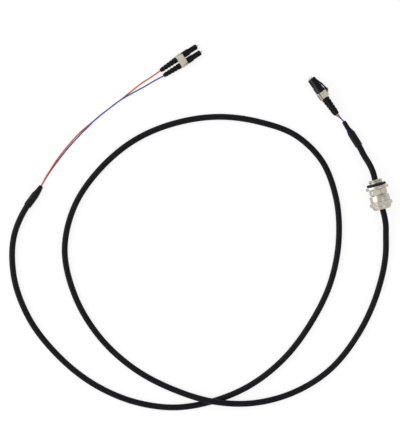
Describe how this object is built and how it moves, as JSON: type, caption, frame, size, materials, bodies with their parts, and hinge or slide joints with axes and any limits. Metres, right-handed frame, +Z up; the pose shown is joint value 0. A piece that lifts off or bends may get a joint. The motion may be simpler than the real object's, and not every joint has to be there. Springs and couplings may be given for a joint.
{
  "type": "fibre breakout cable",
  "caption": "Round black fibre cable in a loop, with a duplex plug pair on orange and blue fibres at each end and a metal cable gland near one end.",
  "frame": {"origin": "on the surface the cable lies on, under the middle of the box round the pieces other than the free cable and fibres", "axes": "+Z up from the surface; +X to the right and +Y away from the viewer as in the picture"},
  "size_m": [0.3342, 0.3203, 0.0208],
  "materials": {
    "black_jacket": "satin",
    "shrink_sleeve": "satin",
    "orange_buffer": "satin",
    "blue_buffer": "satin",
    "black_moulding": "fine matte",
    "black_boot": "satin",
    "beige_moulding": "satin",
    "white_ceramic": "polished",
    "bright_steel": "bright",
    "nickelled_brass": "bright nickel plate",
    "black_rubber": "matte",
    "white_nylon": "satin"
  },
  "bodies": {
    "cable": {"cable_jacket": "black_jacket", "left_breakout_sleeve": "shrink_sleeve", "right_breakout_sleeve": "shrink_sleeve", "left_orange_fibre": "orange_buffer", "left_orange_plug_housing": "black_moulding", "left_orange_plug_back_body": "black_moulding", "left_orange_boot": "black_boot", "left_orange_ferrule_spring": "bright_steel", "left_blue_fibre": "blue_buffer", "left_blue_plug_housing": "black_moulding", "left_blue_plug_back_body": "black_moulding", "left_blue_boot": "black_boot", "left_blue_ferrule_spring": "bright_steel", "right_blue_fibre": "blue_buffer", "right_blue_plug_housing": "black_moulding", "right_blue_plug_back_body": "black_moulding", "right_blue_boot": "black_boot", "right_blue_ferrule_spring": "bright_steel", "right_orange_fibre": "orange_buffer", "right_orange_plug_housing": "black_moulding", "right_orange_plug_back_body": "black_moulding", "right_orange_boot": "black_boot", "right_orange_ferrule_spring": "bright_steel", "left_duplex_clip": "beige_moulding", "right_duplex_clip": "beige_moulding", "gland_body": "nickelled_brass", "gland_o_ring": "black_rubber", "gland_seal": "black_rubber", "gland_clamp_claw": "white_nylon"},
    "left_orange_ferrule_group": {"left_orange_ferrule": "white_ceramic", "left_orange_ferrule_flange": "bright_steel"},
    "left_blue_ferrule_group": {"left_blue_ferrule": "white_ceramic", "left_blue_ferrule_flange": "bright_steel"},
    "right_blue_ferrule_group": {"right_blue_ferrule": "white_ceramic", "right_blue_ferrule_flange": "bright_steel"},
    "right_orange_ferrule_group": {"right_orange_ferrule": "white_ceramic", "right_orange_ferrule_flange": "bright_steel"},
    "nut_carriage": {"gland_slip_washer": "white_nylon"},
    "dome_nut": {"gland_dome_nut": "nickelled_brass"}
  },
  "joints": [
    {"name": "left_orange_ferrule_slide", "type": "slide", "parent": "cable", "child": "left_orange_ferrule_group", "axis": [0.8368, 0.5476, 0], "range_m": [-0.0008, 0], "stiffness_N_per_m": 1500, "deforming": ["left_orange_ferrule_spring"]},
    {"name": "left_blue_ferrule_slide", "type": "slide", "parent": "cable", "child": "left_blue_ferrule_group", "axis": [0.8368, 0.5476, 0], "range_m": [-0.0008, 0], "stiffness_N_per_m": 1500, "deforming": ["left_blue_ferrule_spring"]},
    {"name": "right_blue_ferrule_slide", "type": "slide", "parent": "cable", "child": "right_blue_ferrule_group", "axis": [-0.585, 0.8111, 0], "range_m": [-0.0008, 0], "stiffness_N_per_m": 1500, "deforming": ["right_blue_ferrule_spring"]},
    {"name": "right_orange_ferrule_slide", "type": "slide", "parent": "cable", "child": "right_orange_ferrule_group", "axis": [-0.585, 0.8111, 0], "range_m": [-0.0008, 0], "stiffness_N_per_m": 1500, "deforming": ["right_orange_ferrule_spring"]},
    {"name": "gland_nut_travel", "type": "slide", "parent": "cable", "child": "nut_carriage", "axis": [0.2504, -0.9681, 0], "range_m": [0, 0.0045]},
    {"name": "gland_nut_turn", "type": "hinge", "parent": "nut_carriage", "child": "dome_nut", "pos_m": [0.1467, -0.0516, 0.01], "axis": [0.2504, -0.9681, 0], "range_deg": [0, 1080]}
  ],
  "couplings": [
    {"joint": "gland_nut_turn", "follows": "gland_nut_travel", "rad_per_m": 4188.7}
  ]
}
